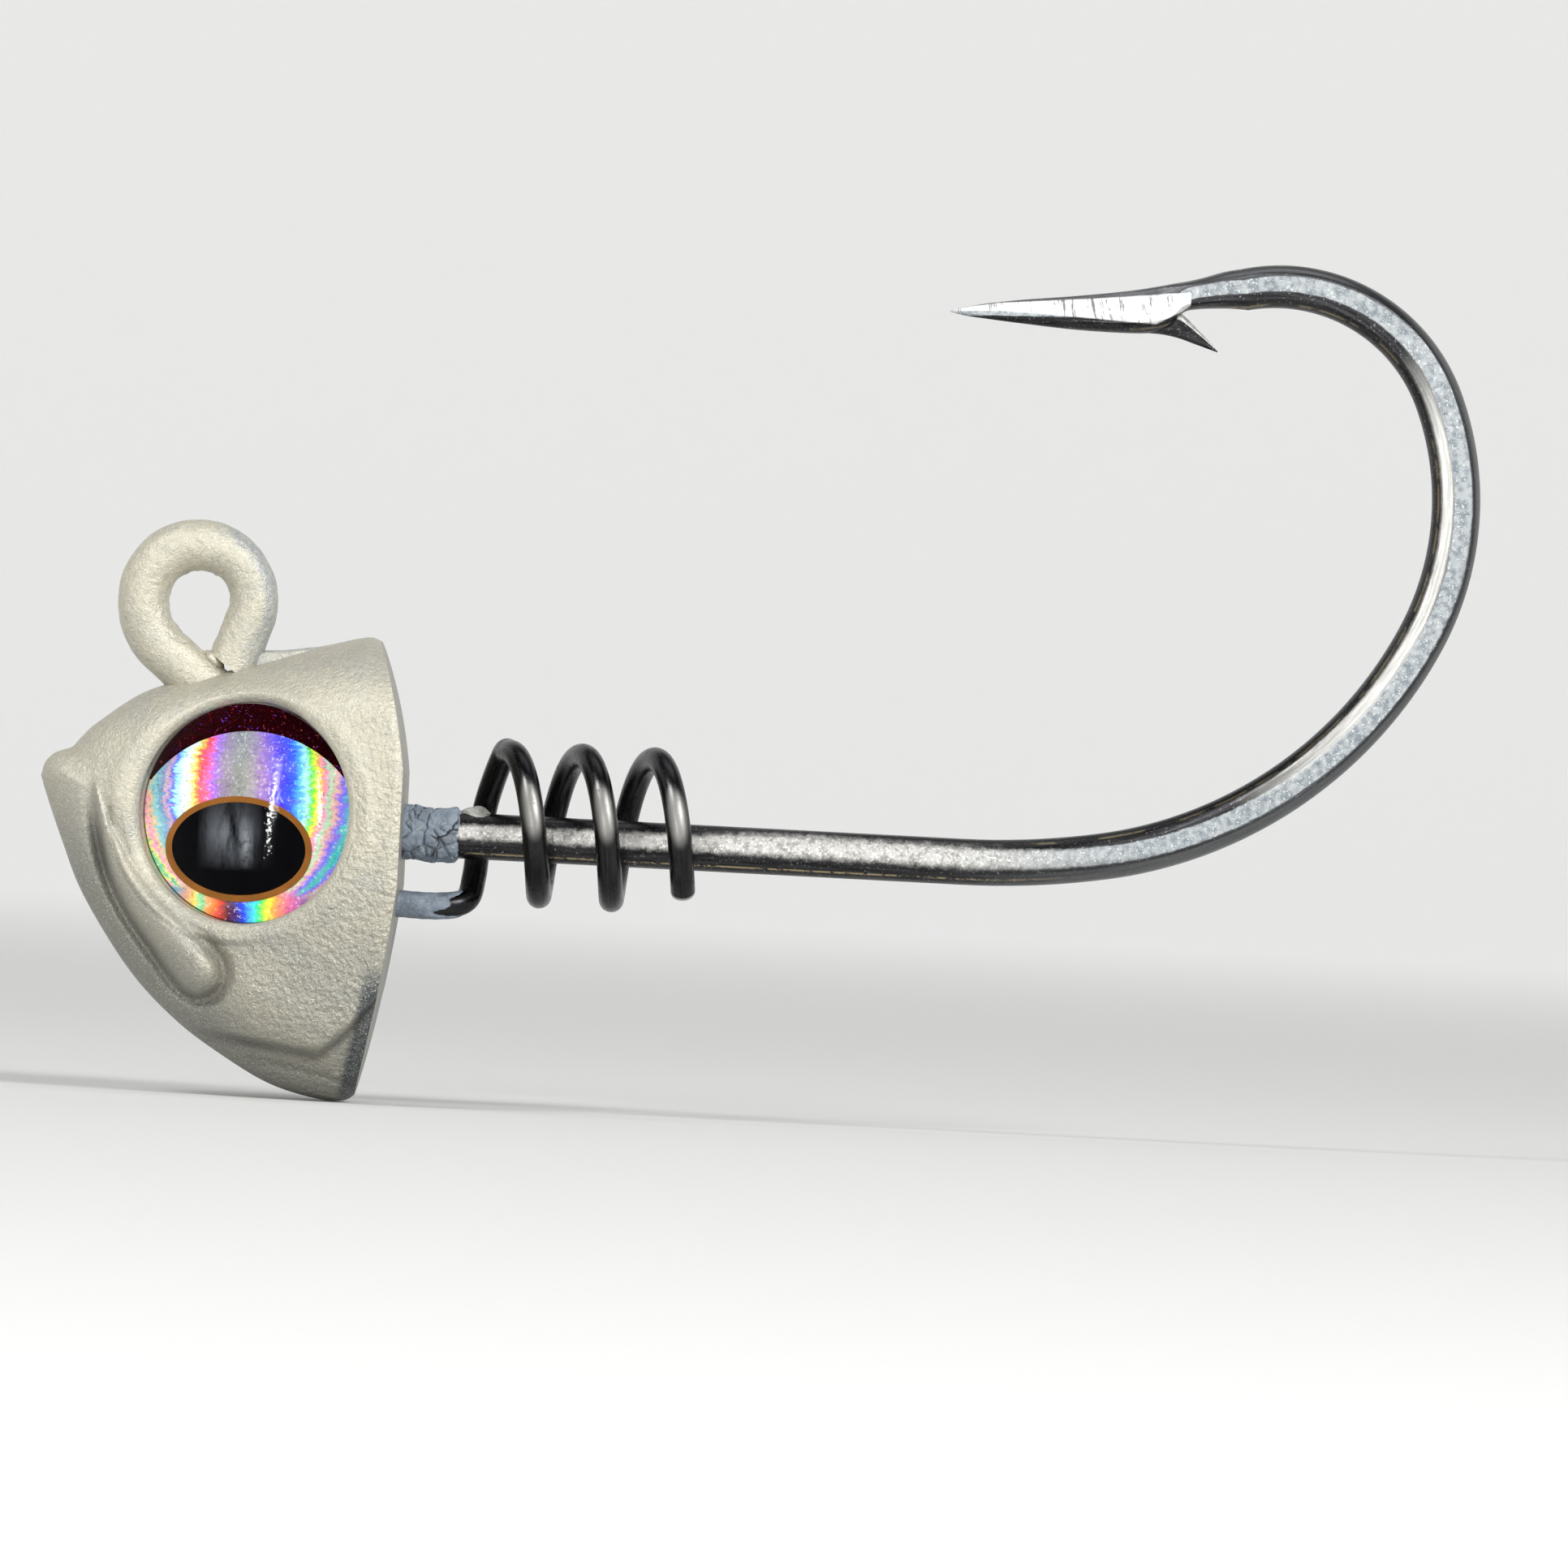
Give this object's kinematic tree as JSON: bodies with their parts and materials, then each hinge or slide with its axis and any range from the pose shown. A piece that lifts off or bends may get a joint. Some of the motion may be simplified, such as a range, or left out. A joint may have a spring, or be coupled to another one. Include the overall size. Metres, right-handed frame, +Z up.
{
  "type": "jig head",
  "caption": "Lead fish-head jig with glued eyes, a line tie on top, a coiled screw lock for a soft bait and a single upturned barbed hook.",
  "frame": {"origin": "centre of the line tie's ring, in the casting's mid-plane", "axes": "+X from the head along the hook's shank towards the bend, +Z up towards the line tie, +Y across the head towards its right eye"},
  "size_m": [0.0578, 0.0114, 0.0359],
  "materials": {
    "painted_lead": "satin",
    "hook_steel": "satin",
    "spring_steel": "polished",
    "eye_adhesive": "matte",
    "eye_foil": "gloss",
    "eye_dome": "gloss"
  },
  "bodies": {
    "root": {"head": "painted_lead", "hook": "hook_steel", "screw_lock": "spring_steel", "eye_adhesive_left": "eye_adhesive", "eye_adhesive_right": "eye_adhesive", "eye_foil_left": "eye_foil", "eye_foil_right": "eye_foil", "eye_dome_left": "eye_dome", "eye_dome_right": "eye_dome"}
  },
  "joints": []
}
